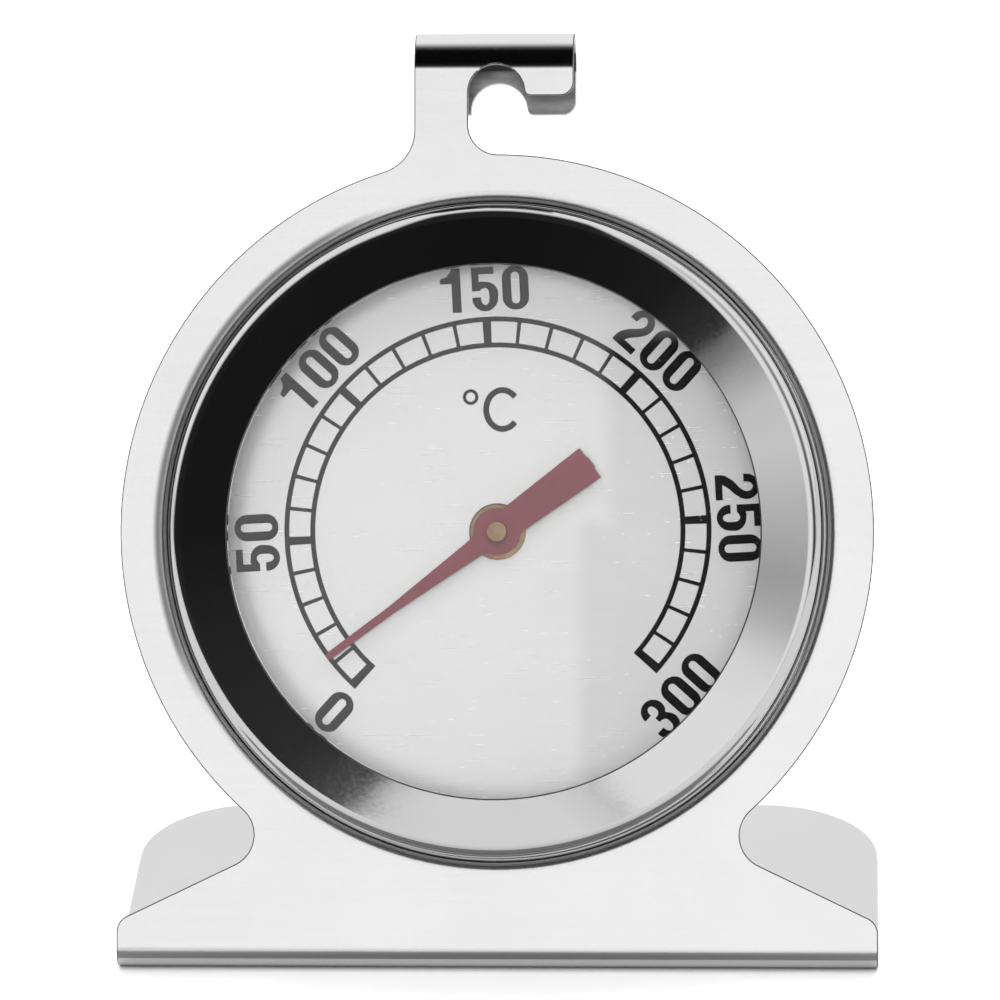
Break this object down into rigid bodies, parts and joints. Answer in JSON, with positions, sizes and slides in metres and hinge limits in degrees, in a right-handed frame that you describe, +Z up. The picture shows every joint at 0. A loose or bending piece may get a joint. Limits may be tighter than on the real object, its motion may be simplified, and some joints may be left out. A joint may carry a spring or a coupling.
{
  "type": "oven thermometer",
  "caption": "Round bimetal dial thermometer in a bent sheet-steel stand that leans back on a flat foot and folds over into a rack hook, with a turning pointer.",
  "frame": {"origin": "centre of the whole object's footprint box, on the plane of the foot's underside", "axes": "+Z up, the dial faces -Y and leans back 24 degrees, +X to the reader's right"},
  "size_m": [0.061, 0.0344, 0.0683],
  "materials": {
    "stand_steel": "fine satin stainless sheet",
    "bezel_steel": "bright polished stainless",
    "cover_steel": "bright drawn stainless",
    "gasket": "dark heat-proof fibre",
    "glass": "clear flat glass",
    "spacer": "plain turned",
    "dial": "fine horizontal brushing, printed scale",
    "movement_steel": "zinc-plated stamping",
    "spring_steel": "dark spring temper",
    "brass": "turned",
    "pointer_paint": "semi-matt dark red paint",
    "bimetal": "rolled strip, copper tint on one side"
  },
  "bodies": {
    "housing": {"stand": "stand_steel", "bezel_shell": "bezel_steel", "rear_cover": "cover_steel", "lens_gasket": "gasket", "lens": "glass", "spacer_ring": "spacer", "dial_plate": "dial", "movement_plate": "movement_steel", "snap_ring": "spring_steel", "front_bush": "brass", "bush_washer": "brass", "bimetal_coil": "bimetal", "anchor_post": "movement_steel", "movement_bridge": "movement_steel", "bridge_rivets": "movement_steel", "rear_bush": "brass"},
    "pointer_shaft": {"pointer": "pointer_paint", "pointer_collet": "brass", "spindle": "brass", "thrust_washer": "brass", "coil_collet": "brass", "retaining_clip": "spring_steel"}
  },
  "joints": [
    {"name": "pointer_spin", "type": "hinge", "parent": "housing", "child": "pointer_shaft", "pos_m": [0, -0.00358, 0.03272], "axis": [0, 0.9135, -0.4067], "range_deg": [-11.5, 258.5], "stiffness_Nm_per_rad": 0.0005, "deforming": ["bimetal_coil"]}
  ]
}
